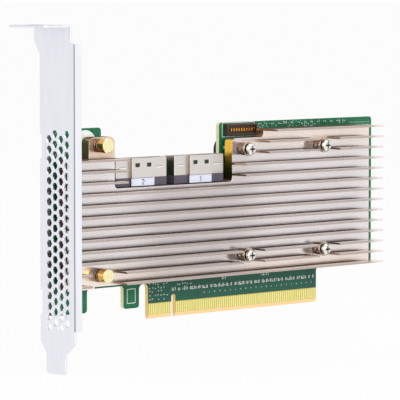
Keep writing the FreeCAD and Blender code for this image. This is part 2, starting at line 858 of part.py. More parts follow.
# Brass push pins
def make_push_pins():
    tip = BOARD_BACK + S.pin_tip_length
    head_edge = S.pin_head_radius - S.pin_head_edge
    master = revolve("push_pin", [
        (NONE, PIN_TOP),
        (head_edge, PIN_TOP),
        (S.pin_head_radius, PIN_TOP + S.pin_head_edge),
        (S.pin_head_radius, PIN_HEAD_BACK),
        (S.pin_radius, PIN_HEAD_BACK),
        (S.pin_radius, BOARD_BACK),
        (S.pin_barb_radius, BOARD_BACK),
        (S.pin_tip_radius, tip),
        (NONE, tip),
    ])
    # A saw cut lets the barbed tip squeeze through the board's hole.
    slot = new_sketch(master, "XZ_Plane", -tip)
    half = S.pin_slot_width / 2
    wide = S.pin_barb_radius * 2
    add_rectangle(slot, -half, -wide, half, wide)
    pocket(master, slot, S.pin_slot_depth, backwards=True)
    copies("push_pins", master, PIN_PLACES)
    make_springs("push_pin_springs", S.pin_radius, PIN_HEAD_BACK, S.pin_spring_turns, PIN_PLACES)

    hole = S.pin_radius + S.thread_gap
    ring = revolve("tinned_ring", [
        (hole, BOARD_FACE),
        (S.pad_radius, BOARD_FACE),
        (S.pad_radius, BOARD_FACE - S.pad_thickness),
        (hole, BOARD_FACE - S.pad_thickness),
    ])
    copies("push_pin_pads", ring, PIN_PLACES[1:])


# Fasteners that hold the bracket's ears to the board
def make_bracket_fasteners():
    ear_back = BOARD_BACK + S.sheet
    head_back = ear_back + S.bracket_screw_head_height
    front = BOARD_FACE - S.bracket_nut_height
    screw = revolve("bracket_screw", [
        (NONE, front),
        (S.bracket_screw_radius, front),
        (S.bracket_screw_radius, ear_back),
        (S.bracket_screw_head, ear_back),
        (S.bracket_screw_head, head_back - S.pin_head_edge),
        (S.bracket_screw_head - S.pin_head_edge, head_back),
        (NONE, head_back),
    ])
    cross = new_sketch(screw, "XZ_Plane", -head_back)
    add_cross(cross)
    pocket(screw, cross, S.bracket_screw_head_height / 2, backwards=True)
    copies("bracket_screws", screw, EAR_PLACES)
    bore = S.bracket_screw_radius + S.thread_gap
    nut = revolve("bracket_nut", [
        (bore, BOARD_FACE),
        (S.bracket_nut_radius, BOARD_FACE),
        (S.bracket_nut_radius, front),
        (bore, front),
    ])
    copies("bracket_nuts", nut, EAR_PLACES)


# Cable connectors
def stepped_outline(left, inset):
    """Outline of a connector seen from its mouth: two wings and a raised centre, inset by a wall."""
    right = left + S.connector_width
    middle = left + S.connector_width / 2
    back = BOARD_FACE - inset
    wing = BOARD_FACE - S.wing_depth + inset
    centre = BOARD_FACE - S.centre_depth + inset
    half = S.centre_width / 2 - inset
    return [
        (left + inset, back), (left + inset, wing), (middle - half, wing), (middle - half, centre),
        (middle + half, centre), (middle + half, wing), (right - inset, wing), (right - inset, back),
    ]


def make_shell(side, left):
    """Folded metal shell, open at the top and bottom, with latch windows and spring slits."""
    body = new_body(f"{side}_connector_shell")
    tube = new_sketch(body, "XY_Plane", SHELL_BOTTOM)
    add_polygon(tube, stepped_outline(left, NONE))
    add_polygon(tube, stepped_outline(left, S.shell_wall))
    pad(body, tube, S.shell_height)
    middle = left + S.connector_width / 2
    windows = new_sketch(body, "XZ_Plane", S.centre_depth - BOARD_FACE)
    for sign in (-0.5, 0.5):
        x = middle + S.window_spacing * sign
        z = CONNECTOR_MOUTH - S.window_drop
        half_w = S.window_width / 2
        half_h = S.window_height / 2
        add_rectangle(windows, x - half_w, z - half_h, x + half_w, z + half_h)
    pocket(body, windows, S.shell_wall)
    slits = new_sketch(body, "XZ_Plane", S.wing_depth - BOARD_FACE)
    wing_middle = (S.connector_width + S.centre_width) / 4
    for sign in (-1, 1):
        x = middle + wing_middle * sign
        z = CONNECTOR_MOUTH - S.slit_drop
        half_w = S.slit_width / 2
        half_h = S.slit_height / 2
        add_rectangle(slits, x - half_w, z - half_h, x + half_w, z + half_h)
    pocket(body, slits, S.shell_wall)
    keep(body)


def make_housing(side, left):
    """Moulded housing below the shell, with a lip inside it and a slot for the plug's card."""
    body = new_body(f"{side}_connector_housing")
    foot = new_sketch(body, "XY_Plane", S.connector_bottom)
    right = left + S.connector_width
    middle = left + S.connector_width / 2
    wing = BOARD_FACE - S.wing_depth
    bump = BOARD_FACE - S.centre_depth + S.housing_step
    half = S.centre_width / 2
    add_polygon(foot, [
        (left, BOARD_FACE), (left, wing), (middle - half, wing), (middle - half, bump),
        (middle + half, bump), (middle + half, wing), (right, wing), (right, BOARD_FACE),
    ])
    pad(body, foot, S.housing_height)
    lip = new_sketch(body, "XY_Plane", SHELL_BOTTOM)
    add_polygon(lip, stepped_outline(left, S.shell_wall + S.housing_gap))
    pad(body, lip, S.housing_lip)
    lip_top = SHELL_BOTTOM + S.housing_lip
    slot = new_sketch(body, "XY_Plane", lip_top)
    slot_y = BOARD_FACE - S.wing_depth / 2
    half_w = S.card_slot_width / 2
    half_t = S.card_slot_thickness / 2
    add_rectangle(slot, middle - half_w, slot_y - half_t, middle + half_w, slot_y + half_t)
    pocket(body, slot, S.card_slot_depth)
    keep(body)

    # Contact blades line both long walls of the card slot.
    blades = []
    blade_half = S.blade_width / 2
    bottom = lip_top - S.card_slot_depth
    for row, low_y in enumerate((slot_y - half_t, slot_y + half_t - S.blade_thickness)):
        low = (-blade_half, low_y, bottom)
        high = (blade_half, low_y + S.blade_thickness, lip_top)
        blades.append(block(f"{side}_blade_{row}", low, high))
    both = doc.addObject("Part::Compound", f"{side}_blade_pair")
    both.Links = blades
    first = middle - S.blade_pitch * ((BLADES_PER_ROW - 1) / 2)
    places = [(x, NONE) for x in spans(first, S.blade_pitch, BLADES_PER_ROW)]
    copies(f"{side}_connector_contacts", both, places)

    label_bottom = S.connector_bottom + (S.housing_height - S.label_height) / 2
    low = (middle - half, bump - S.label_thickness, label_bottom)
    high = (middle + half, bump, label_bottom + S.label_height)
    keep(block(f"{side}_connector_label", low, high))


# Switch chip
def make_chip():
    body = new_body("switch_chip")
    for side, start, height in (
        (S.substrate_side, BOARD_FACE, S.substrate_height),
        (S.lid_side, BOARD_FACE - S.substrate_height, S.lid_height),
    ):
        square = new_sketch(body, "XZ_Plane", -start)
        half = side / 2
        add_rectangle(square, S.chip_x - half, S.chip_z - half, S.chip_x + half, S.chip_z + half)
        pad(body, square, height)
    keep(body)
    half = S.lid_side / 2
    lid_front = BOARD_FACE - S.substrate_height - S.lid_height
    low = (S.chip_x - half, SINK_BACK, S.chip_z - half)
    high = (S.chip_x + half, lid_front, S.chip_z + half)
    keep(block("thermal_pad", low, high))


# Service header
def make_header():
    body = new_body("service_header")
    right = S.header_left + S.header_width
    top = S.header_bottom + S.header_height
    outline = new_sketch(body, "XZ_Plane", -BOARD_FACE)
    add_rectangle(outline, S.header_left, S.header_bottom, right, top)
    pad(body, outline, S.header_depth)
    trough = new_sketch(body, "XZ_Plane", S.header_depth - BOARD_FACE)
    wall = S.header_wall
    add_rectangle(trough, S.header_left + wall, S.header_bottom + wall, right - wall, top - wall)
    pocket(body, trough, S.header_depth - S.header_floor)
    keep(body)
    floor = BOARD_FACE - S.header_floor
    half = S.header_pin / 2
    low = (-half, BOARD_FACE - S.header_depth, -S.header_pin)
    master = block("service_header_pin", low, (half, floor, S.header_pin))
    first = S.header_left + (S.header_width - S.header_pitch * (HEADER_PINS - 1)) / 2
    middle = S.header_bottom + S.header_height / 2
    copies("service_header_pins", master, [(x, middle) for x in spans(first, S.header_pitch, HEADER_PINS)])


# Small soldered parts
def make_soldered_parts():
    half_l = S.small_length / 2
    half_w = S.small_width / 2
    row = [(x, S.capacitor_z) for x in spans(S.capacitor_first, S.capacitor_pitch, COUPLING_CAPACITORS)]
    chips("coupling_capacitors", row, half_w, half_l, S.small_height)
    strip = [(x, S.strip_z) for x in spans(S.strip_first, S.strip_pitch, STRIP_PARTS)]
    chips("top_strip_resistors", strip, half_l, half_w, S.small_height)
    coil_half = S.coil_side / 2
    chips("filter_coil", [(S.coil_x, S.coil_z)], coil_half, coil_half / 2, S.coil_height)

    tantalum_places = [(x, S.tantalum_z) for x in spans(S.tantalum_x, S.tantalum_pitch, TANTALUMS)]
    half_l = S.tantalum_length / 2
    chips("rear_capacitors", tantalum_places, half_l, S.tantalum_width / 2, S.tantalum_height, face=1)
    middle = (GRID_SIDE - 1) / 2
    grid_xs = spans(S.chip_x - S.grid_pitch * middle, S.grid_pitch, GRID_SIDE)
    grid_zs = spans(S.chip_z - S.grid_pitch * middle, S.grid_pitch, GRID_SIDE)
    grid = [(x, z) for x in grid_xs for z in grid_zs]
    chips("rear_decoupling", grid, S.small_length / 2, half_w, S.small_height, face=1)

    power_zs = spans(S.regulator_z, -S.regulator_pitch, REGULATORS)
    stages = [(S.regulator_x, z) for z in power_zs]
    chips("power_stages", stages, S.regulator_width / 2, S.regulator_length / 2, S.regulator_height)
    coils = [(S.inductor_x, z) for z in power_zs]
    chips("power_inductors", coils, S.inductor_side / 2, S.inductor_side / 2, S.inductor_height)
    flash = [(S.flash_x, S.flash_z)]
    chips("flash_chip", flash, S.flash_width / 2, S.flash_length / 2, S.flash_height)
    clock = [(S.clock_x, S.clock_z)]
    chips("clock_chip", clock, S.clock_side / 2, S.clock_side / 2, S.clock_height)


make_board()
make_contacts()
make_bracket()
make_heat_sink()
make_back_plate()
make_screws()
make_push_pins()
make_bracket_fasteners()
for number, side in enumerate(("left", "right")):
    connector_left = -S.connector_left + S.connector_spacing * number
    make_shell(side, connector_left)
    make_housing(side, connector_left)
make_chip()
make_header()
make_soldered_parts()
doc.recompute()

# Nothing is written unless every object is sound.
for item in doc.Objects:
    if "Invalid" in item.State or "Error" in item.State:
        raise RuntimeError(f"{item.Label} failed to rebuild: {item.State}")
for piece in finished:
    if piece.Shape.isNull() or not piece.Shape.isValid():
        raise RuntimeError(f"{piece.Label} is not a sound solid")
os.makedirs("parts", exist_ok=True)
for piece in finished:
    piece.Shape.exportStep(os.path.join("parts", f"{piece.Label}.step"))
print(f"{len(finished)} pieces written")
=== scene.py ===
import math
from itertools import product

import bmesh
import bpy
import numpy as np
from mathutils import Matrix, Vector


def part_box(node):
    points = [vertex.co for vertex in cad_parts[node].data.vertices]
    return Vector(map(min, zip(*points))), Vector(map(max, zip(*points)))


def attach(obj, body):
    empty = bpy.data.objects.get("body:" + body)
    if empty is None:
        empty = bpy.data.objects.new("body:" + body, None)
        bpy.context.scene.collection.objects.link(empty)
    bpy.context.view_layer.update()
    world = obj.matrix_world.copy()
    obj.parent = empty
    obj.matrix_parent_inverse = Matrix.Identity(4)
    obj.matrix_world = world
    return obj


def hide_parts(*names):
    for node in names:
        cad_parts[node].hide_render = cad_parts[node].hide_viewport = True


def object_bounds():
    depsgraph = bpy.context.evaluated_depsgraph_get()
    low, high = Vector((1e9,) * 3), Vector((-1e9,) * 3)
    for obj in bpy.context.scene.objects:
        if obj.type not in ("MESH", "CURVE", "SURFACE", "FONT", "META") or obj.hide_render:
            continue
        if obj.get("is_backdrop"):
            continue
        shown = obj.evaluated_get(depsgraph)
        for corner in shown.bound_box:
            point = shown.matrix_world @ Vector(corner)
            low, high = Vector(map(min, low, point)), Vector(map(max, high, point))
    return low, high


# A switch adapter card for solid-state drives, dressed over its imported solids.
# Places are in millimetres in the card's own frame and become metres in the meshes.

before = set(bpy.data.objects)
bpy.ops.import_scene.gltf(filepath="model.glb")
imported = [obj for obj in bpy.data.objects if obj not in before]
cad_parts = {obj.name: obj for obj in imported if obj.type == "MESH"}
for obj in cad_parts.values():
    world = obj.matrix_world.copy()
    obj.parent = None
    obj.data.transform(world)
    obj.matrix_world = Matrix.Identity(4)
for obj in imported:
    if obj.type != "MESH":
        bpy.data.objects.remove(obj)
cad_low, cad_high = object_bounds()

MM = 0.001
scene = bpy.context.scene


def paint(red, green, blue):
    """A colour given as it looks on a screen, 0 to 255, as the linear values that shaders take."""
    shown = np.array([red, green, blue]) / 255.0
    linear = np.where(shown <= 0.04045, shown / 12.92, ((shown + 0.055) / 1.055) ** 2.4)
    return (*linear.tolist(), 1.0)


def span(node):
    """A node's lowest and highest corners in millimetres."""
    low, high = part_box(node)
    return np.array(low) / MM, np.array(high) / MM


# How far a patch of finish reaches past the faces that it takes in
PAST = 1.0

# Board: the tongue's side left of its contacts, and the copper lines, painted shade on the mask and warm cut
# edge above them
TONGUE_SIDE = 1.8
CONTACT_PITCH = 1.0
LINES_RISE = 4.2
SHADE_RISE = 9.5
EDGE_RISE = 7.0
BARE_RISE = 0.25

# Reach of the bracket's stiffening flange, whose bend carries a painted dark line of shade, and of the
# painted shade on the rim at its top
FLANGE_BOTTOM = 0.2
FLANGE_TOP = 98.5
BEND_FROM_HOOK = 11.4
BEND_WIDTH = 0.35
BEND_DEPTH = 0.25
RIM_HEIGHT = 1.5

# Left face of the heat sink's right block, and the face that its fins stand on
BLOCK_LEFT = 22.4
SINK_FACE = -7.685
END_DEPTH = 2.0

# Right side of the lug beside the connectors, and the top of the fins under it
LUG_RIGHT = -33.0
TOWER_TOP = 58.6

# Stretches over which the heat sink's painted reflection and painted shade change
WARM_REFLECTION_BELOW = (14.0, 26.0)
WARM_REFLECTION_ABOVE = (54.0, 66.0)
BLOCK_SHADE = (50.0, 60.0)
SHADED_MIDDLE = (-20.0, 32.0)
SHADED_MIDDLE_FADE = 18.0
LIT_FIN_END = (84.0, 92.0)

# Fins: the tip with painted shade, and the stretch over which the painted dark shade on the fins' tops
# thickens from the tip towards the root
TIP_DEPTH = 0.3
ROOT_SHADE_FROM = 1.0
ROOT_SHADE_TO = 4.5

# Sprung screws: head, the groove between it and the collar, and the collar
SCREW_HEAD_HEIGHT = 1.3
SCREW_NECK_HEIGHT = 0.5
SCREW_COLLAR_HEIGHT = 0.6


# Finishes

class Finish:
    """One material: a principled shader whose colour, roughness and bump vary over Object coordinates."""

    def __init__(self, name, colour, metallic=0.0, roughness=0.5):
        self.material = bpy.data.materials.new(name)
        self.material.use_nodes = True
        self.nodes = self.material.node_tree.nodes
        self.links = self.material.node_tree.links
        self.shader = self.nodes["Principled BSDF"]
        self.colour = paint(*colour)
        self.shader.inputs["Base Color"].default_value = self.colour
        self.shader.inputs["Metallic"].default_value = metallic
        self.shader.inputs["Roughness"].default_value = roughness
        self.place = self.nodes.new("ShaderNodeTexCoord")

    def stretched(self, scale):
        """Object coordinates multiplied on each axis."""
        mapping = self.nodes.new("ShaderNodeMapping")
        mapping.inputs["Scale"].default_value = scale
        self.links.new(self.place.outputs["Object"], mapping.inputs["Vector"])
        return mapping.outputs["Vector"]

    def noise(self, scale, stretch=(1, 1, 1), detail=3.0):
        """Cloudy noise, scale cycles to the metre."""
        texture = self.nodes.new("ShaderNodeTexNoise")
        texture.inputs["Scale"].default_value = scale
        texture.inputs["Detail"].default_value = detail
        self.links.new(self.stretched(stretch), texture.inputs["Vector"])
        return texture.outputs["Fac"]

    def ridges(self, pitch, axis="X"):
        """Even bands across an axis, brightest half a pitch away from zero."""
        texture = self.nodes.new("ShaderNodeTexWave")
        texture.bands_direction = axis
        texture.inputs["Scale"].default_value = 2 * math.pi / (20 * pitch * MM)
        self.links.new(self.place.outputs["Object"], texture.inputs["Vector"])
        return texture.outputs["Fac"]

    def cells(self, scale, stretch=(1, 1, 1)):
        """Distance to the borders of square-cornered cells."""
        texture = self.nodes.new("ShaderNodeTexVoronoi")
        texture.distance = "MANHATTAN"
        texture.inputs["Scale"].default_value = scale
        self.links.new(self.stretched(stretch), texture.inputs["Vector"])
        return texture.outputs["Distance"]

    def levels(self, value, low, high, to_low=0.0, to_high=1.0):
        """A value taken from one range to another, smoothly and held at its ends."""
        node = self.nodes.new("ShaderNodeMapRange")
        node.interpolation_type = "SMOOTHSTEP"
        for socket, number in zip(("From Min", "From Max", "To Min", "To Max"), (low, high, to_low, to_high)):
            node.inputs[socket].default_value = number
        self.links.new(value, node.inputs["Value"])
        return node.outputs["Result"]

    def along(self, axis, facing=False):
        """One Object coordinate in metres, or that part of the surface's own normal."""
        node = self.nodes.new("ShaderNodeSeparateXYZ")
        self.links.new(self.place.outputs["Normal" if facing else "Object"], node.inputs["Vector"])
        return node.outputs[axis]

    def faces_up(self, axis):
        """One where the surface faces up an axis, and nothing where it turns away."""
        return self.levels(self.along(axis, facing=True), 0.5, 0.9)

    def faces_down(self, axis):
        """One where the surface faces down an axis, and nothing where it turns away."""
        return self.levels(self.along(axis, facing=True), -0.9, -0.5, 1.0, 0.0)

    def fade(self, axis, low, high, to_low=0.0, to_high=1.0):
        """A change from one place on an axis to another, both in millimetres."""
        return self.levels(self.along(axis), low * MM, high * MM, to_low, to_high)

    def both(self, first, second, kind="MULTIPLY"):
        """Two values joined by one sum."""
        node = self.nodes.new("ShaderNodeMath")
        node.operation = kind
        self.links.new(first, node.inputs[0])
        self.links.new(second, node.inputs[1])
        return node.outputs["Value"]

    def between(self, axis, low, high, soft=0.05):
        """One between two places on an axis in millimetres, and nothing outside them."""
        rising = self.fade(axis, low - soft, low + soft)
        falling = self.fade(axis, high - soft, high + soft, 1.0, 0.0)
        return self.both(rising, falling)

    def tint(self, value, colour, share=1.0):
        """Lay a second colour over what the surface has so far, where a value is high."""
        node = self.nodes.new("ShaderNodeMix")
        node.data_type = "RGBA"
        self.links.new(self.levels(value, 0.0, 1.0, 0.0, share), node.inputs["Factor"])
        base = self.shader.inputs["Base Color"]
        if base.is_linked:
            self.links.new(base.links[0].from_socket, node.inputs["A"])
        else:
            node.inputs["A"].default_value = self.colour
        node.inputs["B"].default_value = paint(*colour)
        self.links.new(node.outputs["Result"], base)
        return self

    def rough(self, value, low, high):
        """Let roughness follow a value."""
        self.links.new(self.levels(value, 0.25, 0.75, low, high), self.shader.inputs["Roughness"])
        return self

    def dull(self, value, metallic):
        """Take the metal and the shine away where a value is high."""
        self.links.new(self.levels(value, 0.0, 1.0, metallic, 0.0), self.shader.inputs["Metallic"])
        self.links.new(self.levels(value, 0.0, 1.0, 0.5, 0.0), self.shader.inputs["Specular IOR Level"])
        return self

    def bump(self, value, height, strength=0.5):
        """Raise the surface by a value, height millimetres at most."""
        node = self.nodes.new("ShaderNodeBump")
        node.inputs["Strength"].default_value = strength
        node.inputs["Distance"].default_value = height * MM
        self.links.new(value, node.inputs["Height"])
        normal = self.shader.inputs["Normal"]
        if normal.is_linked:
            self.links.new(normal.links[0].from_socket, node.inputs["Normal"])
        self.links.new(node.outputs["Normal"], normal)
        return self


def worn_metal(name, colour, roughness, grain, stretch, darker, share=0.5, metallic=1.0):
    """A bare metal with drawn grain: long noise tints it, roughens it and raises it a little."""
    finish = Finish(name, colour, metallic, roughness)
    streaks = finish.noise(grain, stretch)
    blotches = finish.noise(grain / 12, detail=4.0)
    finish.tint(finish.levels(streaks, 0.35, 0.7), darker, share)
    finish.tint(finish.levels(blotches, 0.5, 0.75), darker, share * 0.6)
    finish.rough(streaks, roughness * 0.8, roughness * 1.25)
    finish.bump(streaks, 0.02, 0.25)
    return finish


def moulded(name, colour, roughness, darker):
    """A moulded or cast body: fine grain in its colour, gloss and surface."""
    finish = Finish(name, colour, 0.0, roughness)
    grain = finish.noise(2600.0)
    clouds = finish.noise(160.0, detail=4.0)
    finish.tint(finish.levels(clouds, 0.4, 0.7), darker, 0.6)
    finish.rough(grain, roughness * 0.85, roughness * 1.2)
    finish.bump(grain, 0.03, 0.35)
    return finish


def board_finish():
    """Green mask over copper lines, bare laminate round the contacts and on the edges, and a tan bevel, with
    painted shade over the tongue's mask and on the board's left edge.
    """
    board_low, board_high = span("circuit_board")
    pads_low, pads_high = span("edge_contacts_front")
    floor, top = board_low[2] - PAST, pads_high[2]
    finish = Finish("green_mask", (14, 84, 54), 0.0, 0.36)
    finish.shader.inputs["Specular IOR Level"].default_value = 0.25

    # copper under the mask
    pours = finish.levels(finish.noise(55.0, detail=1.0), 0.44, 0.5)
    routes = finish.levels(finish.cells(520.0, (1, 0.1, 0.35)), 0.42, 0.5)
    rise = finish.between("Z", top, top + LINES_RISE)
    lines = finish.both(finish.levels(finish.ridges(CONTACT_PITCH), 0.55, 0.8), rise)
    finish.tint(pours, (22, 100, 66), 0.8)
    finish.tint(routes, (40, 118, 82), 0.35)
    finish.tint(lines, (62, 128, 98), 0.25)
    finish.bump(lines, 0.05, 0.4)
    finish.bump(routes, 0.04, 0.3)
    finish.rough(finish.noise(900.0), 0.3, 0.44)

    # the tongue that carries the contacts
    tongue = finish.between("X", pads_low[0] - TONGUE_SIDE, board_high[0])
    # painted shade: the mask over the tongue is darkened where shade falls above the contacts
    shaded_tongue = finish.both(tongue, finish.between("Z", board_low[2], top + SHADE_RISE, 1.5))
    finish.tint(shaded_tongue, (34, 73, 65), 0.7)
    bare = finish.both(tongue, finish.between("Z", floor, top + BARE_RISE))
    finish.tint(bare, (176, 168, 92))

    # cut edges
    facing = finish.along("Y", facing=True)
    edge = finish.levels(finish.both(facing, facing), 0.2, 0.5, 1.0, 0.0)
    weave = finish.noise(4200.0, (0.3, 2.0, 0.3))
    finish.tint(edge, (244, 238, 196))
    finish.tint(finish.both(edge, weave), (214, 202, 142), 0.5)
    # painted shade on the cut edge at the board's left end, which lies in the bracket's shade
    behind = finish.both(edge, finish.between("X", board_low[0] - PAST, board_low[0] + 0.5))
    finish.tint(behind, (76, 78, 56), 0.85)
    cut = finish.both(tongue, finish.between("Z", floor, top + EDGE_RISE, 1.0))
    finish.tint(finish.both(edge, cut), (246, 206, 128), 0.85)
    bevel = finish.both(tongue, finish.between("Z", floor, pads_low[2] - 0.1))
    finish.tint(bevel, (252, 206, 150))
    return finish


def bracket_finish():
    """Bright zinc on drawn steel, with painted light on its front faces, painted shade on the rim and a
    painted dark line of shade along the near flange's bend.
    """
    low, high = span("io_bracket")
    finish = worn_metal("bright_zinc", (236, 238, 244), 0.34, 900.0, (1, 1, 0.06), (226, 229, 238), 0.2)
    # painted light: the faces turned to the front are brightened
    finish.tint(finish.faces_down("Y"), (243, 244, 250), 0.9)
    # painted shade: a grey, dull rim on the upward faces at the top stands for the shade on the tab's top
    # edge
    rim = finish.both(finish.faces_up("Z"), finish.between("Z", high[2] - RIM_HEIGHT, high[2] + PAST))
    finish.tint(rim, (166, 168, 176), 0.9)
    finish.dull(rim, 1.0)
    # painted shade: a dark line along the near flange's bend
    bend_left = low[0] + BEND_FROM_HOOK
    bend = finish.both(
        finish.between("Y", low[1] - PAST, low[1] + BEND_DEPTH),
        finish.between("X", bend_left, bend_left + BEND_WIDTH, 0.1),
    )
    bend = finish.both(bend, finish.between("Z", FLANGE_BOTTOM, FLANGE_TOP))
    finish.tint(bend, (96, 98, 108), 0.9)
    return finish


def sink_finish():
    """Extruded aluminium: lines along the fins, with painted reflection and painted shade: warm and darker
    zones, dark shade on the fins' tips and roots, and shade and a yellow reflection on the ends that face
    left.
    """
    low, high = span("heat_sink")
    shine = 0.8
    finish = worn_metal(
        "extruded_aluminium", (238, 232, 232), 0.2, 1500.0, (0.03, 1, 1), (228, 221, 219), 0.15, shine,
    )

    # painted reflection and painted shade over the whole extrusion
    # painted reflection: a warm tone near the top and the bottom
    warm = finish.both(finish.fade("Z", *WARM_REFLECTION_ABOVE), finish.fade("Z", *WARM_REFLECTION_BELOW, 1.0, 0.0), "MAXIMUM")
    finish.tint(warm, (250, 232, 214), 0.6)
    # painted shade: the middle of the sink is darker
    finish.tint(finish.between("X", *SHADED_MIDDLE, SHADED_MIDDLE_FADE), (203, 194, 193), 0.6)
    # painted reflection: a warm tan on the lug beside the connectors
    lug = finish.both(finish.between("X", low[0], LUG_RIGHT), finish.between("Z", TOWER_TOP, high[2], 0.5))
    finish.tint(lug, (226, 198, 174), 0.85)

    # fins
    inboard = finish.fade("X", *LIT_FIN_END, 1.0, 0.2)
    # painted shade: the fins' front tips are browned and darker
    tips = finish.both(finish.between("Y", low[1] - PAST, low[1] + TIP_DEPTH), finish.faces_down("Y"))
    finish.tint(finish.both(tips, inboard), (176, 162, 152), 0.9)
    # painted shade: a dull dark brown on the fins' upper faces, deepest at the roots and fading out at the
    # right end
    roots = finish.fade("Y", low[1] + ROOT_SHADE_FROM, low[1] + ROOT_SHADE_TO, 0.05, 1.0)
    root_shade = finish.both(finish.both(roots, finish.faces_up("Z")), inboard)
    finish.tint(root_shade, (94, 71, 56), 0.95)
    finish.dull(root_shade, shine)

    # painted shade on the ends that face left
    ends = finish.faces_down("X")
    finish.tint(ends, (142, 112, 84), 0.85)
    # painted shade: darker still at the sink's outer left end
    outer = finish.both(
        finish.between("X", low[0] - PAST, low[0] + END_DEPTH),
        finish.between("Z", low[2], TOWER_TOP),
    )
    finish.tint(finish.both(ends, outer), (72, 61, 54), 0.9)
    # painted reflection: yellow on the right block's left end, with painted shade over its lower part
    block_end = finish.both(ends, finish.between("X", BLOCK_LEFT - PAST, BLOCK_LEFT + END_DEPTH))
    block_end = finish.both(block_end, finish.between("Y", SINK_FACE, high[1]))
    finish.tint(block_end, (236, 188, 66))
    finish.tint(finish.both(block_end, finish.fade("Z", *BLOCK_SHADE, 1.0, 0.0)), (40, 38, 20), 0.9)
    return finish


def shell_finish():
    """Drawn tinned steel, with painted shade on the left sides of its steps."""
    finish = worn_metal("bright_shell", (220, 214, 209), 0.34, 1100.0, (0.1, 1, 1), (206, 200, 195), 0.2)
    # painted shade on the faces that face left
    finish.tint(finish.faces_down("X"), (132, 114, 102), 0.9)
    return finish


def screw_finish():
    """Bright nickel, with painted shade in the groove under the head, and warmer on the collar."""
    front = span("spring_screws")[0][1]
    finish = worn_metal("bright_nickel", (236, 232, 226), 0.16, 1600.0, (1, 0.2, 1), (206, 196, 186), 0.25)
    groove = front + SCREW_HEAD_HEIGHT
    collar = groove + SCREW_NECK_HEIGHT
    # painted shade in the groove between the head and the collar
    finish.tint(finish.between("Y", groove, collar), (52, 42, 36))
    finish.tint(finish.between("Y", collar, collar + SCREW_COLLAR_HEIGHT), (204, 178, 150), 0.8)
    return finish


def pin_finish():
    """Turned brass: pale bright faces, and painted shade in brown on the sides."""
    finish = worn_metal("turned_brass", (252, 244, 198), 0.2, 1600.0, (1, 0.15, 1), (236, 214, 132), 0.25)
    # painted shade: the sides of the heads are browner
    sides = finish.levels(finish.along("Y", facing=True), -0.9, -0.4)
    finish.tint(sides, (214, 164, 74), 0.9)
    return finish


FINISHES = {
    "bracket_steel": bracket_finish(),
    "green_laminate": board_finish(),
    "bare_aluminium": sink_finish(),
    "gold_plate": worn_metal("hard_gold", (248, 238, 158), 0.24, 1800.0, (1, 1, 0.1), (232, 208, 112), 0.3),
    "chip_lid": worn_metal("nickel_lid", (204, 204, 202), 0.35, 700.0, (1, 1, 0.2), (176, 176, 176)),
    "thermal_compound": moulded("grey_compound", (158, 160, 164), 0.8, (134, 136, 140)),
    "black_steel": worn_metal("blackened_steel", (52, 52, 56), 0.42, 900.0, (0.2, 1, 1), (34, 34, 38)),
    "black_film": moulded("black_film", (34, 33, 32), 0.5, (24, 24, 24)),
    "nickel_plate": screw_finish(),
    # painted shade: the spring wire is darkened brown for the shade in the pockets
    "spring_steel": worn_metal("spring_wire", (150, 126, 108), 0.36, 2000.0, (1, 1, 1), (104, 84, 70)),
    "brass_pin": pin_finish(),
    "tin_plate": worn_metal("bright_tin", (204, 214, 209), 0.28, 1400.0, (1, 1, 1), (180, 190, 186)),
    "black_plastic": moulded("black_moulding", (44, 45, 47), 0.45, (30, 31, 33)),
    "chip_ceramic": moulded("tan_ceramic", (176, 171, 160), 0.5, (150, 144, 132)),
    "shell_steel": shell_finish(),
    "housing_plastic": moulded("plum_grey_moulding", (86, 79, 91), 0.5, (70, 64, 76)),
    "label_paper": moulded("pale_label", (222, 224, 240), 0.6, (206, 208, 228)),
}
WHITE_INK = moulded("white_ink", (236, 240, 234), 0.55, (210, 220, 212))
DARK_INK = moulded("dark_ink", (44, 42, 52), 0.5, (30, 28, 36))
DARK_GREEN = moulded("dark_green_moulding", (14, 46, 32), 0.5, (8, 34, 22))
# painted shade: dark bars laid in the screw recesses
RECESS_SHADE = moulded("painted_recess_shade", (40, 36, 34), 0.6, (26, 23, 22))
HEADER_BROWN = moulded("brown_moulding", (64, 48, 38), 0.45, (44, 33, 26))
COPPER_PIN = worn_metal("copper_gold", (250, 188, 92), 0.25, 1500.0, (1, 1, 0.2), (214, 140, 60), 0.4)
# painted highlight: the lips are a near-white, less metallic copy of the shell's steel
LIP_HIGHLIGHT = worn_metal("painted_lip_highlight", (252, 252, 252), 0.3, 900.0, (0.1, 1, 1), (240, 240, 240), 0.2, 0.3)

NODE_SLOTS = {
    "bracket_steel": ["io_bracket"],
    "green_laminate": ["circuit_board"],
    "bare_aluminium": ["heat_sink"],
    "gold_plate": [
        "edge_contacts_front", "edge_contacts_rear", "left_connector_contacts", "right_connector_contacts",
        "service_header_pins",
    ],
    "chip_lid": ["switch_chip"],
    "thermal_compound": ["thermal_pad"],
    "black_steel": ["back_plate"],
    "black_film": ["back_plate_film"],
    "nickel_plate": ["spring_screws", "press_nuts", "bracket_screws", "bracket_nuts"],
    "spring_steel": ["screw_springs", "push_pin_springs"],
    "brass_pin": ["push_pins"],
    "tin_plate": ["push_pin_pads"],
    "black_plastic": [
        "service_header", "filter_coil", "rear_capacitors", "power_stages", "power_inductors", "flash_chip",
        "clock_chip", "top_strip_resistors",
    ],
    "chip_ceramic": ["coupling_capacitors", "rear_decoupling"],
    "shell_steel": ["left_connector_shell", "right_connector_shell"],
    "housing_plastic": ["left_connector_housing", "right_connector_housing"],
    "label_paper": ["left_connector_label", "right_connector_label"],
}
OWN_FINISHES = {
    "service_header": HEADER_BROWN,
    "service_header_pins": COPPER_PIN,
    "push_pin_pads": WHITE_INK,
}
for slot, nodes in NODE_SLOTS.items():
    for node in nodes:
        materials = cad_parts[node].data.materials
        materials.clear()
        materials.append(OWN_FINISHES.get(node, FINISHES[slot]).material)


# Ways of making pieces

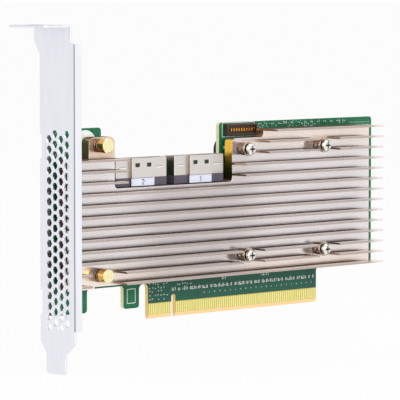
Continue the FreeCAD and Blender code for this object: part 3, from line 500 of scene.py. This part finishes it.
# Points nearer than these, in metres, are one point: on a new surface, and on a copied solid
NEAR_ON_NEW = 1e-7
NEAR_ON_COPY = 1e-6

# Edges sharper than this are eased, and faces that meet flatter than this are one face
SHARP = math.radians(35)
FLAT = math.radians(1.0)
EASE_STEPS = 2


def piece_from(name, mesh, slot, finish=None):
    """Put a mesh into the scene as a piece of the card, with its finish."""
    mesh.materials.clear()
    mesh.materials.append((finish or FINISHES[slot]).material)
    piece = bpy.data.objects.new(name, mesh)
    scene.collection.objects.link(piece)
    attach(piece, "root")
    return piece


def surface(name, points, faces, slot, finish=None, smooth=True):
    """A piece from an array of points in millimetres and its faces, with doubles merged."""
    mesh = bpy.data.meshes.new(name)
    mesh.from_pydata((np.reshape(points, (-1, 3)) * MM).tolist(), [], faces)
    work = bmesh.new()
    work.from_mesh(mesh)
    bmesh.ops.remove_doubles(work, verts=work.verts, dist=NEAR_ON_NEW)
    work.to_mesh(mesh)
    work.free()
    if smooth:
        mesh.shade_smooth()
    return piece_from(name, mesh, slot, finish)


def grid_faces(rows, columns, copies=1):
    """Quads of a grid of rows of points whose last column joins its first, for each of several copies."""
    row = np.arange(rows - 1)[:, None] * columns
    here = np.arange(columns)[None, :]
    there = (here + 1) % columns
    one = np.stack([row + here, row + columns + here, row + columns + there, row + there], axis=-1)
    starts = np.arange(copies)[:, None, None] * rows * columns
    return (one.reshape(1, -1, 4) + starts).reshape(-1, 4)


BAR_FACES = np.array([[0, 1, 3, 2], [4, 6, 7, 5], [0, 4, 5, 1], [2, 3, 7, 6], [0, 2, 6, 4], [1, 5, 7, 3]])


def bars(name, lows, highs, slot, finish=None, ease=0.0):
    """Rectangular bars: each of a bar's eight corners takes the low or the high place on each axis."""
    lows = np.asarray(lows, dtype=float)[:, None]
    highs = np.asarray(highs, dtype=float)[:, None]
    pick = np.array(list(product((0, 1), repeat=3)))[None]
    points = np.where(pick == 1, highs, lows)
    faces = BAR_FACES[None] + 8 * np.arange(len(points))[:, None, None]
    piece = surface(name, points, faces.reshape(-1, 4).tolist(), slot, finish, smooth=False)
    if ease:
        ease_edges(piece, ease)
    return piece


def turned(name, places, profile, slot, sides):
    """Turned rings: a closed profile of radius and Y, spun about Y at each X and Z place."""
    profile = np.asarray(profile, dtype=float)
    angle = np.linspace(0.0, 2 * math.pi, sides, endpoint=False)
    radius, y = np.vstack([profile, profile[:1]]).T
    ring = np.stack([
        radius[:, None] * np.cos(angle),
        np.repeat(y[:, None], sides, axis=1),
        radius[:, None] * np.sin(angle),
    ], axis=-1)
    places = np.asarray(places, dtype=float)
    shift = np.stack([places[:, 0], np.zeros(len(places)), places[:, 1]], axis=-1)
    points = ring[None] + shift[:, None, None]
    return surface(name, points, grid_faces(len(radius), sides, len(places)).tolist(), slot)


STEPS_TO_TURN = 32
WIRE_SIDES = 12


def coils(name, places, mean, wire, front, back, turns, slot):
    """Springs: a small circle carried along a helix about Y, square to the helix at each step."""
    steps = int(turns * STEPS_TO_TURN)
    turn = np.linspace(0.0, 2 * math.pi * turns, steps)
    out = np.stack([np.cos(turn), np.zeros(steps), np.sin(turn)], axis=-1)
    rise = np.linspace(front + wire / 2, back - wire / 2, steps)
    centre = out * mean + np.stack([np.zeros(steps), rise, np.zeros(steps)], axis=-1)
    ahead = np.gradient(centre, axis=0)
    ahead /= np.linalg.norm(ahead, axis=1, keepdims=True)
    across = np.cross(ahead, out)
    angle = np.linspace(0.0, 2 * math.pi, WIRE_SIDES, endpoint=False)[None, :, None]
    tube = centre[:, None] + wire / 2 * (np.cos(angle) * out[:, None] + np.sin(angle) * across[:, None])
    places = np.asarray(places, dtype=float)
    shift = np.stack([places[:, 0], np.zeros(len(places)), places[:, 1]], axis=-1)
    points = tube[None] + shift[:, None, None]
    faces = grid_faces(steps, WIRE_SIDES, len(places)).tolist()
    first = np.arange(WIRE_SIDES)
    one = steps * WIRE_SIDES
    for start in range(0, len(places) * one, one):
        faces.append((first + start).tolist())
        faces.append((first[::-1] + start + one - WIRE_SIDES).tolist())
    return surface(name, points, faces, slot)


def ribbon(name, paths, width, face, height, slot, finish):
    """Printed lines: a flat strip of one width carried along each X and Z path, raised from a face."""
    points, faces = [], []
    for path in paths:
        path = np.asarray(path, dtype=float)
        ahead = np.gradient(path, axis=0)
        ahead /= np.linalg.norm(ahead, axis=1, keepdims=True)
        side = np.stack([-ahead[:, 1], ahead[:, 0]], axis=-1) * width / 2
        loop = np.stack([path + side, path - side, path - side, path + side], axis=1)
        depth = np.array([face, face, face - height, face - height])
        depth = np.broadcast_to(depth, loop.shape[:2])
        start = sum(len(block) for block in points)
        faces += (grid_faces(len(path), 4) + start).tolist()
        last = start + 4 * (len(path) - 1)
        faces += [[start, start + 1, start + 2, start + 3], [last + 3, last + 2, last + 1, last]]
        points.append(np.stack([loop[..., 0], depth, loop[..., 1]], axis=-1).reshape(-1, 3))
    piece = surface(name, np.vstack(points), faces, slot, finish, smooth=False)
    work = bmesh.new()
    work.from_mesh(piece.data)
    bmesh.ops.recalc_face_normals(work, faces=work.faces)
    work.to_mesh(piece.data)
    work.free()
    return piece


def ease_edges(piece, width):
    """Round a piece's sharp edges a little so that they catch the light, and keep its large faces flat."""
    bevel = piece.modifiers.new("eased_edges", "BEVEL")
    bevel.width = width * MM
    bevel.segments = EASE_STEPS
    bevel.limit_method = "ANGLE"
    bevel.angle_limit = SHARP
    piece.data.shade_smooth()
    flat = piece.modifiers.new("flat_faces", "WEIGHTED_NORMAL")
    flat.weight = 100


def eased(node, width, slot):
    """A copy of a node, its triangles joined into whole faces and its edges eased, in the node's place."""
    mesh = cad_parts[node].data.copy()
    work = bmesh.new()
    work.from_mesh(mesh)
    bmesh.ops.remove_doubles(work, verts=work.verts, dist=NEAR_ON_COPY)
    bmesh.ops.dissolve_limit(work, angle_limit=FLAT, verts=work.verts, edges=work.edges)
    work.to_mesh(mesh)
    work.free()
    piece = piece_from(f"{node}_eased", mesh, slot, OWN_FINISHES.get(node))
    ease_edges(piece, width)
    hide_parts(node)
    return piece


# Solids whose edges show

EASED = {
    "io_bracket": 0.14,
    "heat_sink": 0.12,
    "left_connector_shell": 0.1,
    "right_connector_shell": 0.1,
    "left_connector_housing": 0.12,
    "right_connector_housing": 0.12,
    "service_header": 0.1,
    "back_plate": 0.2,
    "switch_chip": 0.15,
    "power_inductors": 0.4,
    "power_stages": 0.08,
    "flash_chip": 0.12,
    "clock_chip": 0.08,
    "rear_capacitors": 0.2,
    "filter_coil": 0.3,
    "coupling_capacitors": 0.05,
    "rear_decoupling": 0.05,
    "top_strip_resistors": 0.05,
}
for slot, nodes in NODE_SLOTS.items():
    for node in nodes:
        if node in EASED:
            eased(node, EASED[node], slot)


# Springs under the screws and the brass pins

board_low, board_high = span("circuit_board")
FACE = board_low[1]
BACK = board_high[1]


def corners_of(node, radius):
    """The axes of four or two round pieces, from their node's box and radius."""
    low, high = span(node)
    xs = sorted({round(low[0] + radius, 3), round(high[0] - radius, 3)})
    zs = (low[2] + radius, high[2] - radius)
    return [(x, z) for x in xs for z in zs]


SCREW_COLLAR = 2.65
PIN_HEAD = 2.5
SPRING_WIRE = 0.5
SCREW_TURNS = 3.5
PIN_TURNS = 1.75
screw_axes = corners_of("spring_screws", SCREW_COLLAR)
pin_axes = corners_of("push_pins", PIN_HEAD)
SPRINGS = (("screw_springs", screw_axes, SCREW_TURNS), ("push_pin_springs", pin_axes, PIN_TURNS))
for node, axes, turns in SPRINGS:
    low, high = span(node)
    mean = (axes[0][1] - low[2]) - SPRING_WIRE / 2
    coil = coils(f"{node}_wound", axes, mean, SPRING_WIRE, low[1], high[1], turns, "spring_steel")
    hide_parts(node)


# Tinned ends of the soldered chips

CHIP = (1.0, 0.55)
TANTALUM = (7.3, 4.3)
COIL = (4.0, 2.0)
CAPACITORS = 32
CAP_SHARE = 0.26
CAP_PROUD = 0.03
CAP_EASE = 0.04


def level_points(places, y):
    """X and Z places at one Y, as points."""
    return np.stack([places[:, 0], np.full(len(places), y), places[:, 1]], axis=-1)


def chip_ends(name, node, count, size, along="X", columns=None):
    """A tinned cap on each end of every chip in an evenly spaced row or square of them."""
    length, width = size
    low, high = span(node)
    columns = columns or count
    rows = count // columns
    half = np.array([length, width]) / 2 if along == "X" else np.array([width, length]) / 2
    xs = np.linspace(low[0] + half[0], high[0] - half[0], columns)
    zs = np.linspace(low[2] + half[1], high[2] - half[1], rows)
    middle = np.array(list(product(xs, zs)))
    cap = CAP_SHARE * length
    front = low[1] - (CAP_PROUD if low[1] < FACE else 0.0)
    rear = high[1] + (CAP_PROUD if high[1] > BACK else 0.0)
    lows, highs = [], []
    for sign in (-1, 1):
        end = np.array([sign, 0.0]) if along == "X" else np.array([0.0, sign])
        centre = middle + end * (length - cap) / 2
        reach = np.array([cap, width]) / 2 if along == "X" else np.array([width, cap]) / 2
        lows.append(level_points(centre - reach - CAP_PROUD, front))
        highs.append(level_points(centre + reach + CAP_PROUD, rear))
    return bars(name, np.vstack(lows), np.vstack(highs), "tin_plate", ease=CAP_EASE)


chip_ends("coupling_capacitor_ends", "coupling_capacitors", CAPACITORS, CHIP, along="Z")
chip_ends("top_strip_ends", "top_strip_resistors", 14, CHIP)
chip_ends("rear_decoupling_ends", "rear_decoupling", 25, CHIP, columns=5)
chip_ends("rear_capacitor_ends", "rear_capacitors", 4, TANTALUM)
chip_ends("filter_coil_ends", "filter_coil", 1, COIL)


# Painted shade in the screws' recesses

CROSS_ARM = 1.22
CROSS_HALF = 0.29
SHADE_BELOW = 0.1
SCREW_RECESS = 0.86
EAR_RECESS = 0.48


def crosses(name, axes, front, back):
    """Painted shade at the bottom of each driver recess: two dark bars crossing on each screw's axis."""
    centre = np.asarray(axes, dtype=float)
    lows, highs = [], []
    for reach in (np.array([CROSS_ARM, CROSS_HALF]), np.array([CROSS_HALF, CROSS_ARM])):
        lows.append(level_points(centre - reach, front))
        highs.append(level_points(centre + reach, back))
    return bars(name, np.vstack(lows), np.vstack(highs), "black_steel", RECESS_SHADE)


head = span("spring_screws")[0][1]
crosses("screw_recesses", screw_axes, head + SHADE_BELOW, head + SCREW_RECESS)
ear_low, ear_high = span("bracket_screws")
ear_axes = corners_of("bracket_screws", (ear_high[0] - ear_low[0]) / 2)
crosses("bracket_screw_recesses", ear_axes, ear_high[1] - EAR_RECESS, ear_high[1] - SHADE_BELOW)


# Dark insides behind the windows in the connectors' middles, and lips pressed out of their wings, painted
# near white as a highlight

WINDOW_SPACING = 5.4
WINDOW_DROP = 2.5
WINDOW_HALF = np.array([1.3, 0.95])
WINDOW_INSIDE = 0.34
WINDOW_DEPTH = 0.5
MIDDLE_WIDTH = 10.7
WING_DEPTH = 5.3
LIP_DROP = 3.4
LIP_LOW = np.array([-1.5, -0.3])
LIP_HIGH = np.array([1.5, 0.04])
LIP_PROUD = 0.14
LIP_SUNK = 0.05
SMALL_EASE = 0.05
for side in ("left", "right"):
    low, high = span(f"{side}_connector_shell")
    middle = (low[0] + high[0]) / 2
    windows = np.array([(middle + WINDOW_SPACING * share, high[2] - WINDOW_DROP) for share in (-0.5, 0.5)])
    inside = low[1] + WINDOW_INSIDE
    bars(
        f"{side}_window_blocks",
        level_points(windows - WINDOW_HALF, inside),
        level_points(windows + WINDOW_HALF, inside + WINDOW_DEPTH),
        "housing_plastic", DARK_GREEN, ease=SMALL_EASE,
    )
    wing = (high[0] - low[0] + MIDDLE_WIDTH) / 4
    slits = np.array([(middle + wing * sign, high[2] - LIP_DROP) for sign in (-1, 1)])
    front = FACE - WING_DEPTH
    bars(
        f"{side}_spring_lips",
        level_points(slits + LIP_LOW, front - LIP_PROUD),
        level_points(slits + LIP_HIGH, front + LIP_SUNK),
        "shell_steel", LIP_HIGHLIGHT, ease=SMALL_EASE,
    )


# Printed marks and tinned vias on the board

INK = 0.02
LINE = 0.2
scatter = np.random.default_rng(11)
header_low, header_high = span("service_header")
caps_low, caps_high = span("coupling_capacitors")
strip_foot = span("top_strip_resistors")[0][2]


def box_path(left, bottom, right, top):
    """The four sides of a printed box, the level ones half a line longer at each end to close the corners."""
    half = LINE / 2
    level = [np.array([(left - half, z), (right + half, z)]) for z in (bottom, top)]
    upright = [np.array([(x, bottom), (x, top)]) for x in (left, right)]
    return level + upright


def ticks(xs, foot, shortest, longest):
    """Upright printed strokes of mixed heights on one line."""
    tops = foot + scatter.uniform(shortest, longest, len(xs))
    return [np.array([(x, foot), (x, top)]) for x, top in zip(xs, tops)]


def dashes(xs, zs, length):
    """Short level printed strokes."""
    return [np.array([(x, z), (x + length, z)]) for x, z in zip(xs, zs)]


# boxes round the header and on the hook tab
HEADER_SIDE = 0.6
HEADER_BELOW = 0.5
EDGE_MARGIN = 0.2
TAB_BOX = (-22.0, 6.2, -18.2, 11.2)
header_box = box_path(
    header_low[0] - HEADER_SIDE, header_low[2] - HEADER_BELOW,
    header_high[0] + HEADER_SIDE, board_high[2] - EDGE_MARGIN,
)
tab_box = box_path(*TAB_BOX)

# marks beside the coupling capacitors, above the contacts
TONGUE_END = 71.0
FIRST_MARKS = (-0.6, 7.2, 0.75)
MARK_STEPS = (0.68, 1.3)
SHARE_SKIPPED = 0.12
FOOT_DASH = 0.5
FOOT_MARKS = (15.0, TONGUE_END, 2.6)
FOOT_DROP = 1.9
GROUP_MARKS = ((44.0, 48.0, 0.8), (24.0, 25.6, 0.8))
GROUP_RISE = 1.4
chip_xs = np.linspace(caps_low[0] + CHIP[1] / 2, caps_high[0] - CHIP[1] / 2, CAPACITORS)
mark_xs = np.concatenate([np.arange(*FIRST_MARKS)] + [chip_xs + step for step in MARK_STEPS])
mark_xs = mark_xs[scatter.uniform(size=len(mark_xs)) > SHARE_SKIPPED]
finger_ticks = ticks(mark_xs[mark_xs < TONGUE_END], caps_low[2], shortest=0.6, longest=1.3)
feet_xs = mark_xs[::3]
finger_feet = dashes(feet_xs, np.full(len(feet_xs), caps_low[2]), FOOT_DASH)
foot_ticks = ticks(np.arange(*FOOT_MARKS), caps_low[2] - FOOT_DROP, shortest=0.25, longest=0.5)
group_xs = np.concatenate([np.arange(*group) for group in GROUP_MARKS])
group_ticks = ticks(group_xs, caps_high[2] + GROUP_RISE, shortest=0.7, longest=1.0)

# marks along the top strip
TICKS = 8
TICKS_REACH = (41.0, 72.0)
TICKS_DROP = 0.7
SPECKS = 44
SPECKS_REACH = (41.0, 74.0)
SPECKS_RISE = (66.4, 68.5)
DASH = 0.3
BAR_XS = np.array([84.5, 86.2])
BAR_DROP = 0.6
DOT_XS = np.arange(90.0, 100.0, 0.9)
DOT_DROP = 0.5
tick_xs = scatter.uniform(*TICKS_REACH, TICKS)
strip_ticks = ticks(tick_xs, strip_foot - TICKS_DROP, shortest=0.3, longest=0.7)
speck_xs = scatter.uniform(*SPECKS_REACH, SPECKS)
speck_zs = scatter.uniform(*SPECKS_RISE, SPECKS)
strip_specks = dashes(speck_xs, speck_zs, DASH)
strip_bars = ticks(BAR_XS, strip_foot - BAR_DROP, shortest=1.5, longest=1.7)
edge_dots = dashes(DOT_XS, np.full(len(DOT_XS), strip_foot - DOT_DROP), DASH)
ribbon(
    "printed_marks",
    header_box + tab_box + finger_ticks + finger_feet + foot_ticks + group_ticks
    + strip_ticks + strip_specks + strip_bars + edge_dots,
    LINE, FACE, INK, "label_paper", WHITE_INK,
)


def sprinkled(low, high, pitch, share):
    """A share of the places of a square grid, each moved at random by up to a fifth of the pitch."""
    grid = np.array(list(product(np.arange(low[0], high[0], pitch), np.arange(low[1], high[1], pitch))))
    grid = grid + scatter.uniform(-pitch / 5, pitch / 5, grid.shape)
    return grid[scatter.uniform(size=len(grid)) < share]


VIA_RISE = 0.03
VIA = [(0.12, FACE), (0.28, FACE), (0.26, FACE - VIA_RISE), (0.14, FACE - VIA_RISE)]
VIA_SIDES = 12
SHORT_AREA = ((-11.2, 6.8), (-1.8, 13.6))
FIRST_AREA = ((1.8, 11.4), (8.4, 13.6))
TAIL_LINE = ((99.6, 18.0), (99.6, 66.0))
LEG_LINE = ((-54.5, 60.0), (-54.5, 67.5))
short_vias = sprinkled(*SHORT_AREA, pitch=1.35, share=0.75)
first_vias = sprinkled(*FIRST_AREA, pitch=1.3, share=0.7)
tail_vias = np.linspace(*TAIL_LINE, 16)
leg_vias = np.linspace(*LEG_LINE, 5)
vias = np.vstack([short_vias, first_vias, tail_vias, leg_vias])
turned("tinned_vias", vias, VIA, "tin_plate", VIA_SIDES)


# Numbers on the two connector labels

def digit_path(digit, x, z, height):
    """A plain figure drawn as one path: a stroke with a flag for one, an arc and two straights for two."""
    if digit == 1:
        shape = np.array([(-0.22, 0.28), (0.06, 0.5), (0.06, -0.5)])
    else:
        angle = np.radians(np.linspace(165, -35, 12))
        arc = np.stack([0.3 * np.cos(angle), 0.2 + 0.3 * np.sin(angle)], axis=-1)
        shape = np.vstack([arc, [(-0.3, -0.5)], [(0.34, -0.5)]])
    return shape * height + np.array([x, z])


DIGIT_HEIGHT = 1.7
DIGIT_STROKE = 0.3
for side, digit in (("left", 2), ("right", 1)):
    low, high = span(f"{side}_connector_label")
    path = digit_path(digit, (low[0] + high[0]) / 2, (low[2] + high[2]) / 2, DIGIT_HEIGHT)
    ribbon(f"{side}_label_number", [path], DIGIT_STROKE, low[1], INK, "label_paper", DARK_INK)


# Floor, light and camera

FLOOR_REACH = 30.0
FLOOR_GAP = 0.0005
GLOW_SHARE = 0.93
FILL_STRENGTH = 0.55


def seen(nodes, links):
    """One for what the camera sees straight, in a mirror or through glass, and nothing for other light."""
    rays = nodes.new("ShaderNodeLightPath")
    value = rays.outputs["Is Camera Ray"]
    for kind in ("Is Glossy Ray", "Is Transmission Ray"):
        larger = nodes.new("ShaderNodeMath")
        larger.operation = "MAXIMUM"
        links.new(value, larger.inputs[0])
        links.new(rays.outputs[kind], larger.inputs[1])
        value = larger.outputs["Value"]
    return value


def pale_floor():
    """A wide pale floor that the camera and mirrors see as almost white, with the card's shadow kept."""
    finish = Finish("pale_floor", (252, 252, 252), 0.0, 0.8)
    grain = finish.noise(30.0)
    finish.tint(finish.levels(grain, 0.4, 0.7), (248, 248, 249), 0.5)
    nodes, links = finish.nodes, finish.links
    glow = nodes.new("ShaderNodeEmission")
    blend = nodes.new("ShaderNodeMixShader")
    links.new(finish.levels(seen(nodes, links), 0.0, 1.0, 0.0, GLOW_SHARE), blend.inputs["Fac"])
    links.new(finish.shader.outputs["BSDF"], blend.inputs[1])
    links.new(glow.outputs["Emission"], blend.inputs[2])
    links.new(blend.outputs["Shader"], nodes["Material Output"].inputs["Surface"])
    mesh = bpy.data.meshes.new("pale_floor")
    height = cad_low.z - FLOOR_GAP
    corners = [(x * FLOOR_REACH, y * FLOOR_REACH, height) for x, y in ((-1, -1), (1, -1), (1, 1), (-1, 1))]
    mesh.from_pydata(corners, [], [(0, 1, 2, 3)])
    mesh.materials.append(finish.material)
    floor = bpy.data.objects.new("pale_floor", mesh)
    scene.collection.objects.link(floor)
    floor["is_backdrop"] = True


def studio_world():
    """Even soft light all round, seen as plain white by the camera and by mirrors."""
    world = bpy.data.worlds.new("studio")
    scene.world = world
    world.use_nodes = True
    nodes, links = world.node_tree.nodes, world.node_tree.links
    fill = nodes["Background"]
    fill.inputs["Color"].default_value = (0.97, 0.985, 1.0, 1.0)
    fill.inputs["Strength"].default_value = FILL_STRENGTH
    white = nodes.new("ShaderNodeBackground")
    white.inputs["Color"].default_value = (1.0, 1.0, 1.0, 1.0)
    white.inputs["Strength"].default_value = 1.0
    blend = nodes.new("ShaderNodeMixShader")
    links.new(seen(nodes, links), blend.inputs["Fac"])
    links.new(fill.outputs["Background"], blend.inputs[1])
    links.new(white.outputs["Background"], blend.inputs[2])
    links.new(blend.outputs["Shader"], nodes["World Output"].inputs["Surface"])


def softbox(name, place, aim, size, power):
    """A square area lamp that faces a point."""
    lamp = bpy.data.lights.new(name, "AREA")
    lamp.shape = "SQUARE"
    lamp.size = size
    lamp.energy = power
    holder = bpy.data.objects.new(name, lamp)
    holder.location = place
    holder.rotation_euler = (Vector(aim) - Vector(place)).to_track_quat("-Z", "Y").to_euler()
    scene.collection.objects.link(holder)


CENTRE = Vector((0.015, -0.006, 0.045))
pale_floor()
studio_world()
softbox("key", (-0.35, -1.0, 0.2), CENTRE, 0.8, 10.0)
softbox("top", (0.2, -0.3, 1.0), CENTRE, 0.6, 2.0)

# The camera stands in front and to the left of the card, a little above it, with a long lens.
TURN = math.radians(42.545)
TILT = math.radians(4.131)
DISTANCE = 1.0326
LENS = 258.0
SENSOR = 36.0
LEFT_OF_CENTRE = 0.005015
BELOW_CENTRE = 0.003611
right = Vector((math.cos(TURN), -math.sin(TURN), 0.0))
level = Vector((math.sin(TURN), math.cos(TURN), 0.0))
forward = level * math.cos(TILT) - Vector((0.0, 0.0, math.sin(TILT)))
up = level * math.sin(TILT) + Vector((0.0, 0.0, math.cos(TILT)))
target = CENTRE - right * LEFT_OF_CENTRE - up * BELOW_CENTRE
lens = bpy.data.cameras.new("camera")
lens.lens = LENS
lens.sensor_width = SENSOR
lens.clip_end = 100.0
camera = bpy.data.objects.new("camera", lens)
camera.location = target - forward * DISTANCE
camera.rotation_euler = forward.to_track_quat("-Z", "Y").to_euler()
scene.collection.objects.link(camera)
scene.camera = camera

scene.view_settings.view_transform = "Standard"

low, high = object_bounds()
